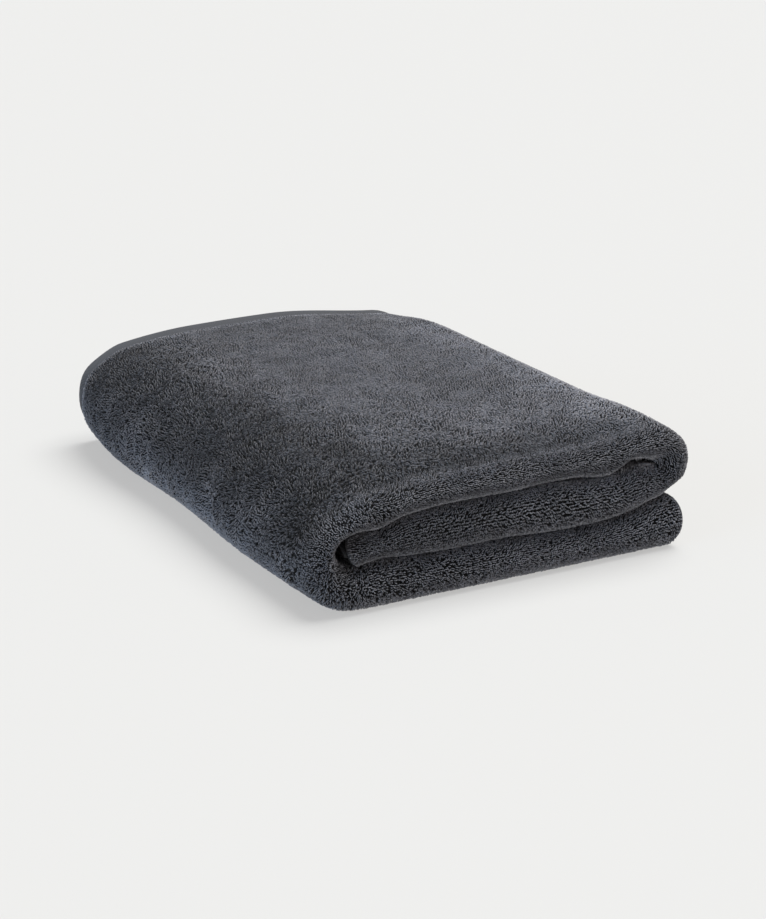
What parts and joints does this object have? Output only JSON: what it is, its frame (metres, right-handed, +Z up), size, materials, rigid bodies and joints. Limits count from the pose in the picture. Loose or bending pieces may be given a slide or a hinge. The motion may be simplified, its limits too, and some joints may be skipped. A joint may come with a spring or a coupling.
{
  "type": "folded bath towel",
  "caption": "Plush terry bath towel folded flat into an oblong packet, with rounded folds and flat woven hems.",
  "frame": {"origin": "middle of the base, where the packet rests on the surface", "axes": "+Z up, +Y from the folded front end to the hems, +X from the big outer fold to the fold opposite"},
  "size_m": [0.2508, 0.3518, 0.0754],
  "materials": {
    "terry": "charcoal cotton terry with uncut loops, matt, flat woven hems"
  },
  "bodies": {
    "root": {"towel": "terry"}
  },
  "joints": []
}
